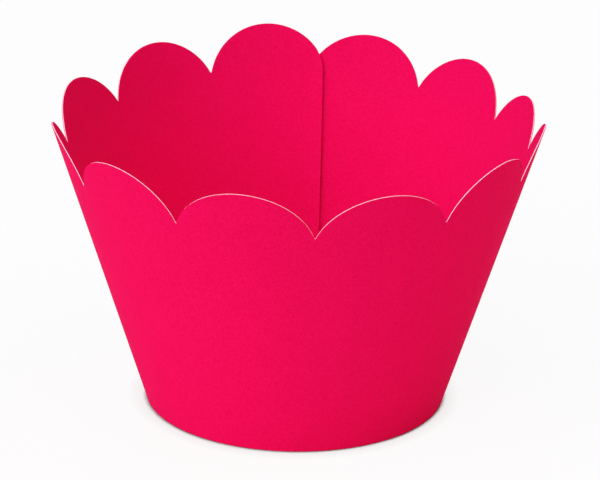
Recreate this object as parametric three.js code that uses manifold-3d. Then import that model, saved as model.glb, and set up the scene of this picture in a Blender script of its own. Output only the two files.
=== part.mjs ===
// A cupcake wrapper: one band of thin pink card, curled into an open cone and glued along a lap.
// Millimetres, +Z up. The cup stands on z = 0 with the origin under the middle of its box, and the lap is at the
// back, towards +Y.
//
// The band is laid out flat first. A cone's wall unrolls to a ring sector, so a point of the flat card is given
// by its angle round the cup and its distance up the slope from the bottom edge. The scallops are true circle
// arcs on the flat card. Curling keeps each slope line straight, so the wall is made of narrow flat strips.

import * as THREE from 'three';
import * as BufferGeometryUtils from 'three/addons/utils/BufferGeometryUtils.js';
import Module from 'manifold-3d';

// Driving dimensions, in millimetres and degrees

// The cone and its card
const bottomRadius = 25;
const wallAngle = 17.2;
const cardThickness = 0.3;

// The scalloped rim, with its peaks measured up the slope: the card's inner end stands higher than its outer end
const scallopCount = 12;
const scallopPitch = 30.4;
const scallopDepth = 7.5;
const peakHeight = 51.9;
const endRise = 2.1;

// The rim isn't quite level: it rises by each height once or more round the cup, first towards the given angle
const rimWaves = [
  { times: 1, height: 2.6, towards: 81 },
  { times: 2, height: 0.5, towards: 90 },
  { times: 3, height: 0.5, towards: 90 },
  { times: 4, height: 0.4, towards: 59 },
];

// Card curled by hand isn't quite round: its scallops crowd, once or more round the cup, towards the given angle
const curlWaves = [
  { times: 1, shift: 6, towards: 29 },
  { times: 2, shift: 1.7, towards: 0 },
  { times: 3, shift: 0.9, towards: 0 },
];

// The lap: a plain tab carries on outside the card's other end, which blends back to the cone beyond it
const seamAngle = 87.2;
const tabAngle = 12;
const tabCornerRadius = 3;
const lapGap = 0.08;
const blendAngle = 24;
const glueAngle = 7;
const glueMargin = 4;

// Facets
const stepsPerScallop = 24;
const stepsPerTab = 6;

const cardColour = '#e40f56';
const cardRoughness = 0.6;

const radians = THREE.MathUtils.degToRad;
const fullTurn = 2 * Math.PI;
const rightAngle = Math.PI / 2;
const sinWall = Math.sin(radians(wallAngle));
const cosWall = Math.cos(radians(wallAngle));

// The slope length from the cone's missing tip down to its bottom edge
const tipLength = bottomRadius / sinWall;

// Angles along the card are counted from its inner end, at the seam, anticlockwise to its outer end
const pitch = radians(scallopPitch);
const scallopedEnd = scallopCount * pitch;
const cardEnd = scallopedEnd + radians(tabAngle);
const lapEnd = cardEnd - fullTurn;
const layerStep = cardThickness + lapGap;

function spread(from, to, steps) {
  return Array.from({ length: steps + 1 }, (_, step) => from + (to - from) * step / steps);
}

function sum(values) {
  return values.reduce((total, value) => total + value, 0);
}

// The flat card's rim

// The middle of a scallop's circle: its angle along the card, and its distance and radius on the flat card
function scallopCircle(index) {
  const along = (index + 0.5) * pitch;
  const angle = along + radians(seamAngle);
  const endShare = 0.5 - index / (scallopCount - 1);
  const waves = rimWaves.map(({ times, height, towards }) => (
    height * Math.cos(times * (angle - radians(towards)))
  ));
  const peakReach = tipLength + peakHeight + endRise * endShare + sum(waves);
  const notchReach = peakReach - scallopDepth;
  const drop = peakReach - notchReach * Math.cos(pitch * sinWall / 2);
  const halfWidth = notchReach * Math.sin(pitch * sinWall / 2);
  const radius = (drop ** 2 + halfWidth ** 2) / (2 * drop);
  return { along, radius, reach: peakReach - radius };
}

// Where a scallop's circle meets its neighbour's, as an angle round the scallop's own circle: 0 is its peak
function notchTurn(circle, neighbour) {
  const swing = (neighbour.along - circle.along) * sinWall;
  const outward = neighbour.reach * Math.cos(swing) - circle.reach;
  const sideways = neighbour.reach * Math.sin(swing);
  const apart = Math.hypot(outward, sideways);
  const corner = (apart ** 2 + circle.radius ** 2 - neighbour.radius ** 2) / (2 * apart * circle.radius);
  return Math.atan2(sideways, outward) - Math.sign(swing) * Math.acos(corner);
}

function arcPoint(circle, turn) {
  const outward = circle.reach + circle.radius * Math.cos(turn);
  const sideways = circle.radius * Math.sin(turn);
  return {
    along: circle.along + Math.atan2(sideways, outward) / sinWall,
    slope: Math.hypot(outward, sideways) - tipLength,
  };
}

// The card's first and last scallops end as if one more of the same height came next
function scallopedRim() {
  const circles = Array.from({ length: scallopCount }, (_, index) => scallopCircle(index));
  return circles.flatMap((circle, index) => {
    const before = circles[index - 1] ?? { ...circle, along: circle.along - pitch };
    const after = circles[index + 1] ?? { ...circle, along: circle.along + pitch };
    const turns = spread(notchTurn(circle, before), notchTurn(circle, after), stepsPerScallop);
    return turns.slice(index === 0 ? 0 : 1).map((turn) => arcPoint(circle, turn));
  });
}

// The tab's plain top edge starts at the last scallop's end, and rounds down to the tab's outer end
function tabRim(start) {
  const tabSlope = start.slope;
  const perMillimetre = 1 / ((tipLength + tabSlope) * sinWall);
  const cornerStart = cardEnd - tabCornerRadius * perMillimetre;
  const level = spread(start.along, cornerStart, stepsPerTab)
    .slice(1)
    .map((along) => ({ along, slope: tabSlope }));
  const corner = spread(0, rightAngle, stepsPerTab)
    .slice(1)
    .map((turn) => ({
      along: cornerStart + tabCornerRadius * Math.sin(turn) * perMillimetre,
      slope: tabSlope - tabCornerRadius * (1 - Math.cos(turn)),
    }));
  return [...level, ...corner];
}

// Curling the card

// The direction in which a place on the card faces once it is curled, as an angle from +X
function curled(along) {
  const even = along + radians(seamAngle);
  const shifts = curlWaves.map(({ times, shift, towards }) => (
    radians(shift) * Math.sin(times * (even - radians(towards)))
  ));
  return even - sum(shifts);
}

// How far inside the cone the card's outer face lies: one layer in under the tab, and none past the blend
function layerDepth(along) {
  const blended = THREE.MathUtils.smootherstep(along, lapEnd, lapEnd + radians(blendAngle));
  return layerStep * (1 - blended);
}

// A point of the curled card, at a slope length and a depth inside the cone
function wallPoint(along, slope, depth) {
  const radius = bottomRadius + slope * sinWall - depth * cosWall;
  const height = slope * cosWall + depth * sinWall;
  const angle = curled(along);
  return [radius * Math.cos(angle), radius * Math.sin(angle), height];
}

// The bottom edge is cut level, so the cup stands on a flat ring
function footPoint(along, depth) {
  return wallPoint(along, -depth * sinWall / cosWall, depth);
}

// A closed solid through a row of four-sided sections, with both ends capped
function loftSections(sections) {
  const corners = sections[0].length;
  const index = [];
  for (let section = 0; section < sections.length - 1; section += 1) {
    for (let corner = 0; corner < corners; corner += 1) {
      const next = (corner + 1) % corners;
      const a = section * corners + corner;
      const b = section * corners + next;
      index.push(a, b, b + corners, a, b + corners, a + corners);
    }
  }
  const last = (sections.length - 1) * corners;
  index.push(0, 2, 1, 0, 3, 2);
  index.push(last, last + 1, last + 2, last, last + 2, last + 3);
  const geometry = new THREE.BufferGeometry();
  geometry.setAttribute('position', new THREE.Float32BufferAttribute(sections.flat(2), 3));
  geometry.setIndex(index);
  return geometry;
}

function bandGeometry() {
  const scallops = scallopedRim();
  const rim = [...scallops, ...tabRim(scallops.at(-1))];
  return loftSections(rim.map(({ along, slope }) => {
    const outer = layerDepth(along);
    const inner = outer + cardThickness;
    return [
      footPoint(along, outer),
      footPoint(along, inner),
      wallPoint(along, slope, inner),
      wallPoint(along, slope, outer),
    ];
  }));
}

// The glue line joins the middles of the two layers, clear of every edge of the lap
function glueGeometry() {
  const middle = lapEnd / 2;
  const half = radians(glueAngle) / 2;
  const top = scallopCircle(0).reach - tipLength - glueMargin;
  const inner = layerStep + cardThickness / 2;
  const outer = cardThickness / 2;
  return loftSections(spread(middle - half, middle + half, stepsPerTab).map((along) => [
    wallPoint(along, glueMargin, outer),
    wallPoint(along, glueMargin, inner),
    wallPoint(along, top, inner),
    wallPoint(along, top, outer),
  ]));
}

// The library joins closed meshes, and gives back one that three.js can hold

const manifold = await Module();
manifold.setup();

function toSolid(geometry) {
  const merged = BufferGeometryUtils.mergeVertices(geometry);
  return new manifold.Manifold(new manifold.Mesh({
    numProp: 3,
    vertProperties: new Float32Array(merged.attributes.position.array),
    triVerts: new Uint32Array(merged.index.array),
  }));
}

function toGeometry(solid) {
  const mesh = solid.getMesh();
  const geometry = new THREE.BufferGeometry();
  geometry.setAttribute('position', new THREE.BufferAttribute(mesh.vertProperties, mesh.numProp));
  geometry.setIndex(new THREE.BufferAttribute(mesh.triVerts, 1));
  geometry.computeVertexNormals();
  return geometry;
}

// The taller scallops at the back reach out further than the front ones, so the cone's axis isn't quite central
function centred(geometry) {
  geometry.computeBoundingBox();
  const middle = geometry.boundingBox.getCenter(new THREE.Vector3());
  return geometry.translate(-middle.x, -middle.y, 0);
}

function wrapperBand() {
  const glued = toSolid(bandGeometry()).add(toSolid(glueGeometry()));
  const material = new THREE.MeshStandardMaterial({
    color: cardColour,
    roughness: cardRoughness,
    metalness: 0,
    flatShading: true,
  });
  const band = new THREE.Mesh(centred(toGeometry(glued)), material);
  band.name = 'wrapper_band';
  return band;
}

const wrapper = new THREE.Group();
wrapper.add(wrapperBand());

export default wrapper;
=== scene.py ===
import math

import bpy
import numpy as np
from mathutils import Matrix, Vector


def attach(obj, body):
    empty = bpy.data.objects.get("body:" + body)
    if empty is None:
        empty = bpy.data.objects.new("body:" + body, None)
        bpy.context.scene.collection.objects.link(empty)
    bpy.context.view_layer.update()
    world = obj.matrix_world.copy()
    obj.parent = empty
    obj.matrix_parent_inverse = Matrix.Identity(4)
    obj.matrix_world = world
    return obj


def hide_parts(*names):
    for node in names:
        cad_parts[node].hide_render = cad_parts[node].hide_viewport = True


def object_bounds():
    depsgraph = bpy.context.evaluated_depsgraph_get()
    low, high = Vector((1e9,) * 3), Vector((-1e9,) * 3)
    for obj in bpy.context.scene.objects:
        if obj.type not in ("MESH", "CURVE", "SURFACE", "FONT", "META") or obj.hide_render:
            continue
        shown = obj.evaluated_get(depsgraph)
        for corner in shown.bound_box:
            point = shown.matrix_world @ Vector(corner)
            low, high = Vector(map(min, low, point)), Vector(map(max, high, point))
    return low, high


# The looks of a cupcake wrapper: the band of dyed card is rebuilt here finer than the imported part, with
# softened cut edges, a pale core and a paper grain. Metres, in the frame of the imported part. The band is laid
# out flat as a ring sector first and then curled, by the same sizes and formulas as the part.

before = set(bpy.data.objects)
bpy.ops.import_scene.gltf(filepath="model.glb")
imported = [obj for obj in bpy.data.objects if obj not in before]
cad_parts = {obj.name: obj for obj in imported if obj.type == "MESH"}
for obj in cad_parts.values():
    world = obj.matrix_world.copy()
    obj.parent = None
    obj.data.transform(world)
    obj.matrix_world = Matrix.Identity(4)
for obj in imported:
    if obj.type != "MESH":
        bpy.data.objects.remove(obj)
CAD_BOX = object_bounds()

# The cone and its card
BOTTOM_RADIUS = 0.025
WALL_ANGLE = math.radians(17.2)
CARD_THICKNESS = 0.0003

# The scalloped rim, with its peaks measured up the slope. The card's inner end stands higher than its outer
# end, by the end rise.
SCALLOP_COUNT = 12
SCALLOP_PITCH = math.radians(30.4)
SCALLOP_DEPTH = 0.0075
PEAK_HEIGHT = 0.0519
END_RISE = 0.0021

# The rim's rises: times round the cup, height, and the angle that it rises towards first
RIM_WAVES = (
    (1, 0.0026, math.radians(81)),
    (2, 0.0005, math.radians(90)),
    (3, 0.0005, math.radians(90)),
    (4, 0.0004, math.radians(59)),
)

# The curl's unevenness: times round the cup, shift, and the angle that the scallops crowd towards
CURL_WAVES = (
    (1, math.radians(6), math.radians(29)),
    (2, math.radians(1.7), 0),
    (3, math.radians(0.9), 0),
)

# The lap at the back
SEAM_ANGLE = math.radians(87.2)
TAB_ANGLE = math.radians(12)
TAB_CORNER_RADIUS = 0.003
LAP_GAP = 0.00008
BLEND_ANGLE = math.radians(24)

# The free end inside the lap, along this angle, curls a little off the layer behind it: by the lift at its
# bottom, and by this share of the lift at its rim. Its upright edge leans round the cup, about a pivot at
# this share of its height.
FREE_END_ANGLE = math.radians(4)
FREE_END_LIFT = 0.0004
FREE_END_RIM_SHARE = 0.45
FREE_END_LEAN = math.radians(2)
FREE_END_PIVOT = 0.68

# The fine mesh: softened cut edges, a narrow row beside each so that the wall stays smooth, and rows between
EDGE_ROUNDING = 0.0001
FOOT_ROUNDING = 0.00012
NOTCH_ROUNDING = 0.00012
EDGE_STEPS = 2
EDGE_MARGIN = 0.00015
WALL_ROWS = 8
STEPS_PER_SCALLOP = 48
STEPS_PER_NOTCH = 6
STEPS_PER_TAB = 12

# The camera, fitted to the photograph: its place from the cone's axis, its turns and its lens
CAMERA_PLACE = Vector((-0.0007, -0.3600, 0.1540))
CAMERA_YAW = math.radians(0.2)
CAMERA_PITCH = math.radians(19.44)
CAMERA_ROLL = math.radians(0.78)
LENS_MM = 138.36
SENSOR_MM = 36

# The studio's soft lamps: name, strength on a white card that faces it, where it stands from the cup, as an
# angle from +X and a height angle, and colour
COOL = (0.97, 1.0, 1.24)
WARM = (1.0, 0.65, 0.50)
LAMPS = (
    ("soft_key", 0.665, math.radians(221), math.radians(33), COOL),
    ("soft_top", 0.43, 0, math.radians(90), COOL),
    ("soft_fill", 0.23, math.radians(335), math.radians(40), WARM),
)
LAMP_SPREAD = math.radians(60)
SKY_STRENGTH = 0.2

# The floor: it gives light back in its own colour, but what the camera sees of it is mostly an even white.
# That white darkens close to the card into a painted shadow and a dark painted crevice line,
# by how open the floor is to rays as long as the contact reach.
FLOOR_SIZE = 6
FLOOR_COLOUR = (0.92, 0.72, 0.66, 1)
FLOOR_WHITE = (0.985, 1.0, 1.0, 1)
FLOOR_SHADE = (0.90, 0.88, 0.885, 1)
FLOOR_CREVICE_SHADE = (0.06, 0.01, 0.02, 1)
SHADE_OPENNESS = 0.45
CREVICE_OPENNESS = 0.37
CONTACT_REACH = 0.003
CONTACT_RAYS = 16
FLOOR_OWN_SHADE = 0.08

# The card: its dye is a little uneven from fibre to fibre, and its cut edge shows a paler core
DYE_DEEP = (0.755, 0.0006, 0.071, 1)
DYE_LIGHT = (0.845, 0.0075, 0.112, 1)
DYE_ROUGHNESS = 0.6
DYE_TOOTH = 0.25
CORE_DEEP = (0.90, 0.62, 0.65, 1)
CORE_LIGHT = (0.96, 0.78, 0.79, 1)
CORE_ROUGHNESS = 0.8
CORE_TOOTH = 0.4
CARD_IOR = 1.025
SHEEN_WEIGHT = 0.03
SHEEN_ROUGHNESS = 0.5
SHEEN_TINT = (1, 0.3, 0.8, 1)

# The card's grain: the feature size, detail and offset of each noise, and how far it varies the card
CLOUD_NOISE = (0.004, 3, 1.3)
CLOUD_VARIATION = 0.015
FIBRE_NOISE = (0.00026, 2, 2.7)
GLOSS_NOISE = (0.0008, 2, 4.1)
GLOSS_VARIATION = 0.05
TOOTH_NOISE = (0.0004, 3, 5.9)
TOOTH_DEPTH = 0.00005
NOISE_ROUGHNESS = 0.6
NOISE_USUAL = (0.25, 0.75)

SIN_WALL = math.sin(WALL_ANGLE)
COS_WALL = math.cos(WALL_ANGLE)
TAN_WALL = SIN_WALL / COS_WALL
TIP_LENGTH = BOTTOM_RADIUS / SIN_WALL
CARD_END = SCALLOP_COUNT * SCALLOP_PITCH + TAB_ANGLE
LAP_END = CARD_END - 2 * math.pi
LAYER_STEP = CARD_THICKNESS + LAP_GAP


def spread(start, end, steps):
    """Evenly spaced values from one to another, both included."""
    return [start + (end - start) * step / steps for step in range(steps + 1)]


# The flat card's rim


def scallop_circle(index, moved=0):
    """A scallop's circle on the flat card: its middle's angle along the card and reach, and its radius."""
    along = (index + 0.5) * SCALLOP_PITCH
    angle = along + SEAM_ANGLE
    rise = END_RISE * (0.5 - index / (SCALLOP_COUNT - 1))
    rise += sum(height * math.cos(times * (angle - towards)) for times, height, towards in RIM_WAVES)
    peak = TIP_LENGTH + PEAK_HEIGHT + rise
    notch = peak - SCALLOP_DEPTH
    drop = peak - notch * math.cos(SCALLOP_PITCH * SIN_WALL / 2)
    half_width = notch * math.sin(SCALLOP_PITCH * SIN_WALL / 2)
    radius = (drop**2 + half_width**2) / (2 * drop)
    return along + moved, peak - radius, radius


def notch_turn(circle, neighbour):
    """Where a scallop's circle meets its neighbour's, as an angle round its own circle from its peak."""
    along, reach, radius = circle
    next_along, next_reach, next_radius = neighbour
    swing = (next_along - along) * SIN_WALL
    outward = next_reach * math.cos(swing) - reach
    sideways = next_reach * math.sin(swing)
    apart = math.hypot(outward, sideways)
    corner = (apart**2 + radius**2 - next_radius**2) / (2 * apart * radius)
    return math.atan2(sideways, outward) - math.copysign(math.acos(corner), swing)


def arc_point(circle, turn):
    """A point of a circle on the flat card, as (angle along the card, distance up the slope)."""
    along, reach, radius = circle
    outward = reach + radius * math.cos(turn)
    sideways = radius * math.sin(turn)
    return along + math.atan2(sideways, outward) / SIN_WALL, math.hypot(outward, sideways) - TIP_LENGTH


def grown(circle):
    """The circle on which the middle of a notch's small arc lies, for it to touch the scallop."""
    along, reach, radius = circle
    return along, reach, radius + NOTCH_ROUNDING


def bearing(circle, other):
    """The direction from one circle's middle to another's, as an angle from outward."""
    along, reach, _ = circle
    other_along, other_reach, _ = other
    swing = (other_along - along) * SIN_WALL
    return math.atan2(other_reach * math.sin(swing), other_reach * math.cos(swing) - reach)


def notch_arc(circle, neighbour):
    """The small arc that joins two neighbouring scallops."""
    along, slope = arc_point(grown(circle), notch_turn(grown(circle), grown(neighbour)))
    small = (along, TIP_LENGTH + slope, NOTCH_ROUNDING)
    turns = spread(bearing(small, circle) + 2 * math.pi, bearing(small, neighbour), STEPS_PER_NOTCH)
    return [arc_point(small, turn) for turn in turns[1:-1]]


def scalloped_rim():
    """The scallops' outline, as (angle along the card, distance up the slope), with its two ends as cut."""
    circles = [scallop_circle(index) for index in range(SCALLOP_COUNT)]
    rim = []
    for index, circle in enumerate(circles):
        if index > 0:
            start = notch_turn(grown(circle), grown(circles[index - 1]))
        else:
            start = notch_turn(circle, scallop_circle(index, -SCALLOP_PITCH))
        if index < SCALLOP_COUNT - 1:
            end = notch_turn(grown(circle), grown(circles[index + 1]))
        else:
            end = notch_turn(circle, scallop_circle(index, SCALLOP_PITCH))
        rim += [arc_point(circle, turn) for turn in spread(start, end, STEPS_PER_SCALLOP)]
        if index < SCALLOP_COUNT - 1:
            rim += notch_arc(circle, circles[index + 1])
    return rim


def tab_rim(start_along, slope):
    """The tab's level top edge and its rounded outer corner."""
    per_metre = 1 / ((TIP_LENGTH + slope) * SIN_WALL)
    corner_start = CARD_END - TAB_CORNER_RADIUS * per_metre
    level = [(along, slope) for along in spread(start_along, corner_start, STEPS_PER_TAB)[1:]]
    corner = [
        (
            corner_start + TAB_CORNER_RADIUS * math.sin(turn) * per_metre,
            slope - TAB_CORNER_RADIUS * (1 - math.cos(turn)),
        )
        for turn in spread(0, math.pi / 2, STEPS_PER_TAB)[1:]
    ]
    return level + corner


# Curling the card


def curled(along):
    """The direction in which a place on the card faces once it is curled, as an angle from +X."""
    even = along + SEAM_ANGLE
    return even - sum(shift * math.sin(times * (even - towards)) for times, shift, towards in CURL_WAVES)


def layer_depth(along):
    """How far inside the cone the outer face lies: one layer in under the tab, and none past the blend."""
    share = min(max((along - LAP_END) / BLEND_ANGLE, 0), 1)
    blended = share**3 * (share * (6 * share - 15) + 10)
    return LAYER_STEP * (1 - blended)


def free_end(along, share):
    """How far the free end curls off the layer behind it, and how far round the cup its edge leans."""
    near = max(1 - along / FREE_END_ANGLE, 0) ** 2
    lift = FREE_END_LIFT * near * (1 - (1 - FREE_END_RIM_SHARE) * share)
    return lift, FREE_END_LEAN * near * (share - FREE_END_PIVOT)


def wall_point(along, slope, depth):
    """A point of the curled card, at a distance up the slope and a depth inside the cone."""
    radius = BOTTOM_RADIUS + slope * SIN_WALL - depth * COS_WALL
    height = slope * COS_WALL + depth * SIN_WALL
    angle = curled(along)
    return radius * math.cos(angle), radius * math.sin(angle), height


# The band's mesh


def edge_profile():
    """One face's rows from the bottom edge to the rim: (share of the height, inset from that edge, depth)."""
    quarter = [(1 - math.sin(turn), 1 - math.cos(turn)) for turn in spread(0, math.pi / 2, EDGE_STEPS)]
    bottom = [(0, FOOT_ROUNDING * inset, FOOT_ROUNDING * depth) for inset, depth in reversed(quarter)]
    top = [(1, EDGE_ROUNDING * inset, EDGE_ROUNDING * depth) for inset, depth in quarter]
    wall = [(share, 0, 0) for share in spread(0, 1, WALL_ROWS)[1:-1]]
    return bottom + [(0, EDGE_MARGIN, 0)] + wall + [(1, EDGE_MARGIN, 0)] + top


def section(along, rim_slope, worn):
    """The card's closed outline at one place along it: up its outer face and down its inner face."""
    outer_depth = layer_depth(along)
    profile = edge_profile()
    points = []
    for inner, rows in ((False, profile), (True, list(reversed(profile)))):
        for share, inset, rounding in rows:
            below = rounding + worn
            lift, lean = free_end(along, share)
            depth = outer_depth + lift + (CARD_THICKNESS - below if inner else below)
            foot = -depth * TAN_WALL
            inward = (inset + worn) * (1 - 2 * share) if share in (0, 1) else 0
            points.append(wall_point(along + lean, foot + (rim_slope - foot) * share + inward, depth))
    return points


def band_mesh():
    """The whole band, closed, with its two ends' upright edges softened as its rim and bottom edge are.

    Returns its points, its faces and whether each face shows the card's core. The core shows on the flat of
    the cut edges, but not on the ends or on the rim of the free end. At the free end, this darker dyed colour
    is painted shade, for the shade along the lap's seam.
    """
    scallops = scalloped_rim()
    rim = scallops + tab_rim(*scallops[-1])
    middle_radius = (TIP_LENGTH + PEAK_HEIGHT / 2) * SIN_WALL
    quarter = spread(0, math.pi / 2, EDGE_STEPS)
    ends = [
        (EDGE_ROUNDING * (1 - math.sin(turn)) / middle_radius, EDGE_ROUNDING * (1 - math.cos(turn)))
        for turn in quarter
    ]
    first_along, first_slope = rim[0]
    last_along, last_slope = rim[-1]
    sections = [section(first_along + back, first_slope, worn) for back, worn in reversed(ends)]
    sections += [section(along, slope, 0) for along, slope in rim[1:-1]]
    sections += [section(last_along - back, last_slope, worn) for back, worn in ends]

    # Painted shade: along the free end the rim's cut edge keeps the darker dyed colour in place of the pale
    # core, for the shade at the seam.
    free_end_shade_places = sum(along < FREE_END_ANGLE for along, _ in rim)
    count = len(sections[0])
    rows = count // 2
    core_rows = (rows - 1, count - 1)
    vertices = [point for points in sections for point in points]
    faces = []
    core = []
    for place in range(len(sections) - 1):
        for row in range(count):
            a = place * count + row
            b = place * count + (row + 1) % count
            faces.append((a, b, b + count, a + count))
            core.append(place > free_end_shade_places and row in core_rows)
    # The ends' upright faces take the dyed colour; at the free end this darker colour is painted shade along
    # the seam.
    for start, turned in ((0, True), (len(vertices) - count, False)):
        for row in range(rows - 1):
            outer = (start + row, start + row + 1)
            inner = (start + count - 2 - row, start + count - 1 - row)
            face = outer + inner
            faces.append(face[::-1] if turned else face)
            core.append(False)
    return np.array(vertices), faces, core


def link(name, mesh):
    piece = bpy.data.objects.new(name, mesh)
    bpy.context.scene.collection.objects.link(piece)
    return piece


# Materials


class Nodes:
    """A short way to write a material's nodes."""

    def __init__(self, material):
        material.use_nodes = True
        self.tree = material.node_tree
        self.shader = self.tree.nodes["Principled BSDF"]

    def add(self, kind, inputs=None, **settings):
        node = self.tree.nodes.new(kind)
        for name, value in settings.items():
            setattr(node, name, value)
        for name, value in (inputs or {}).items():
            self.put(node, name, value)
        return node

    def put(self, node, name, value):
        if isinstance(value, bpy.types.NodeSocket):
            self.tree.links.new(value, node.inputs[name])
        else:
            node.inputs[name].default_value = value


def grain(nodes, size, detail, offset):
    """Even 3-D noise from 0 to 1, with features of one size in metres."""
    place = nodes.add("ShaderNodeTexCoord").outputs["Object"]
    shifted = nodes.add("ShaderNodeMapping", {"Vector": place, "Location": (offset, offset / 2, offset / 3)})
    noise = nodes.add(
        "ShaderNodeTexNoise",
        {
            "Vector": shifted.outputs["Vector"],
            "Scale": 1 / size,
            "Detail": detail,
            "Roughness": NOISE_ROUGHNESS,
        },
    )
    return noise.outputs["Fac"]


def ranged(nodes, noise, low, high):
    """A noise's usual range, spread from one value to another."""
    usual_low, usual_high = NOISE_USUAL
    limits = {"From Min": usual_low, "From Max": usual_high, "To Min": low, "To Max": high}
    return nodes.add("ShaderNodeMapRange", {"Value": grain(nodes, *noise), **limits}).outputs["Result"]


def card_material(name, deep, light, roughness, tooth):
    """Dyed card: cloudy and fine-grained in colour, with a fine tooth."""
    material = bpy.data.materials.new(name)
    nodes = Nodes(material)
    dye = nodes.add("ShaderNodeMix", {"Factor": ranged(nodes, FIBRE_NOISE, 0, 1)}, data_type="RGBA")
    dye.inputs["A"].default_value = deep
    dye.inputs["B"].default_value = light
    cloud = ranged(nodes, CLOUD_NOISE, 1 - CLOUD_VARIATION, 1 + CLOUD_VARIATION)
    clouded = nodes.add("ShaderNodeHueSaturation", {"Value": cloud, "Color": dye.outputs["Result"]})
    nodes.put(nodes.shader, "Base Color", clouded.outputs["Color"])
    gloss = ranged(nodes, GLOSS_NOISE, roughness - GLOSS_VARIATION, roughness + GLOSS_VARIATION)
    nodes.put(nodes.shader, "Roughness", gloss)
    nodes.put(nodes.shader, "IOR", CARD_IOR)
    nodes.put(nodes.shader, "Sheen Weight", SHEEN_WEIGHT)
    nodes.put(nodes.shader, "Sheen Roughness", SHEEN_ROUGHNESS)
    nodes.put(nodes.shader, "Sheen Tint", SHEEN_TINT)
    bump = nodes.add(
        "ShaderNodeBump",
        {"Strength": tooth, "Distance": TOOTH_DEPTH, "Height": grain(nodes, *TOOTH_NOISE)},
    )
    nodes.put(nodes.shader, "Normal", bump.outputs["Normal"])
    return material


def directly_seen(tree):
    """1 where something is seen itself, in gloss or through glass, and 0 for the light that it gives off."""
    rays = tree.nodes.new("ShaderNodeLightPath")
    seen = rays.outputs["Is Camera Ray"]
    for kind in ("Is Glossy Ray", "Is Transmission Ray"):
        either = tree.nodes.new("ShaderNodeMath")
        either.operation = "MAXIMUM"
        tree.links.new(seen, either.inputs[0])
        tree.links.new(rays.outputs[kind], either.inputs[1])
        seen = either.outputs["Value"]
    return seen


def floor_material():
    """A white floor for light, seen as an even white with a soft shade close to the card."""
    material = bpy.data.materials.new("studio_floor")
    nodes = Nodes(material)
    nodes.put(nodes.shader, "Base Color", FLOOR_COLOUR)
    nodes.put(nodes.shader, "Roughness", 1.0)
    nodes.put(nodes.shader, "Specular IOR Level", 0.0)
    openness = nodes.add("ShaderNodeAmbientOcclusion", {"Distance": CONTACT_REACH}, samples=CONTACT_RAYS)
    shade = nodes.add("ShaderNodeValToRGB", {"Fac": openness.outputs["AO"]})
    stops = shade.color_ramp.elements
    stops[0].position = CREVICE_OPENNESS
    stops[0].color = FLOOR_CREVICE_SHADE
    stops[1].color = FLOOR_WHITE
    stops.new(SHADE_OPENNESS).color = FLOOR_SHADE
    # Painted shade: the seen floor is mostly this emission, whose white the openness ramp darkens close to the
    # card into a painted shadow and crevice line.
    even = nodes.add("ShaderNodeEmission", {"Color": shade.outputs["Color"]})
    seen = {0: directly_seen(nodes.tree), 1: 1 - FLOOR_OWN_SHADE}
    share = nodes.add("ShaderNodeMath", seen, operation="MULTIPLY")
    both = nodes.add("ShaderNodeMixShader", {"Fac": share.outputs["Value"]})
    nodes.tree.links.new(nodes.shader.outputs["BSDF"], both.inputs[1])
    nodes.tree.links.new(even.outputs["Emission"], both.inputs[2])
    nodes.tree.links.new(both.outputs["Shader"], nodes.tree.nodes["Material Output"].inputs["Surface"])
    return material


# The piece

vertices, faces, core = band_mesh()
cad_low, cad_high = (np.array(corner) for corner in CAD_BOX)
axis_place = (cad_low + cad_high - vertices.min(0) - vertices.max(0)) / 2
axis_place[2] = 0

mesh = bpy.data.meshes.new("card_band")
mesh.from_pydata((vertices + axis_place).tolist(), [], faces)
mesh.materials.append(card_material("dyed_card", DYE_DEEP, DYE_LIGHT, DYE_ROUGHNESS, DYE_TOOTH))
mesh.materials.append(card_material("card_core", CORE_DEEP, CORE_LIGHT, CORE_ROUGHNESS, CORE_TOOTH))
mesh.polygons.foreach_set("material_index", [int(is_core) for is_core in core])
mesh.shade_smooth()
band = link("card_band", mesh)
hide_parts("wrapper_band")
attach(band, "root")

# The studio

floor_mesh = bpy.data.meshes.new("floor")
half = FLOOR_SIZE / 2
corners = [(-half, -half, 0), (half, -half, 0), (half, half, 0), (-half, half, 0)]
floor_mesh.from_pydata(corners, [], [(0, 1, 2, 3)])
floor_mesh.materials.append(floor_material())
link("floor", floor_mesh)

for name, strength, azimuth, elevation, colour in LAMPS:
    lamp = bpy.data.lights.new(name, "SUN")
    lamp.color = colour
    lamp.energy = strength * math.pi
    lamp.angle = LAMP_SPREAD
    stand = Vector((
        math.cos(elevation) * math.cos(azimuth),
        math.cos(elevation) * math.sin(azimuth),
        math.sin(elevation),
    ))
    link(name, lamp).rotation_euler = stand.to_track_quat("Z", "Y").to_euler()

world = bpy.data.worlds.new("studio")
world.use_nodes = True
tree = world.node_tree
strength = tree.nodes.new("ShaderNodeMapRange")
strength.inputs["To Min"].default_value = SKY_STRENGTH
strength.inputs["To Max"].default_value = 1
tree.links.new(directly_seen(tree), strength.inputs["Value"])
tree.nodes["Background"].inputs["Color"].default_value = (1, 1, 1, 1)
tree.links.new(strength.outputs["Result"], tree.nodes["Background"].inputs["Strength"])
bpy.context.scene.world = world

# The camera

camera = bpy.data.cameras.new("camera")
camera.lens = LENS_MM
camera.sensor_width = SENSOR_MM
camera.sensor_fit = "HORIZONTAL"
camera_object = link("camera", camera)
turns = (
    Matrix.Rotation(-CAMERA_YAW, 4, "Z")
    @ Matrix.Rotation(math.pi / 2 - CAMERA_PITCH, 4, "X")
    @ Matrix.Rotation(CAMERA_ROLL, 4, "Z")
)
camera_object.matrix_world = Matrix.Translation(CAMERA_PLACE + Vector(axis_place)) @ turns
bpy.context.scene.camera = camera_object
bpy.context.scene.view_settings.view_transform = "Standard"
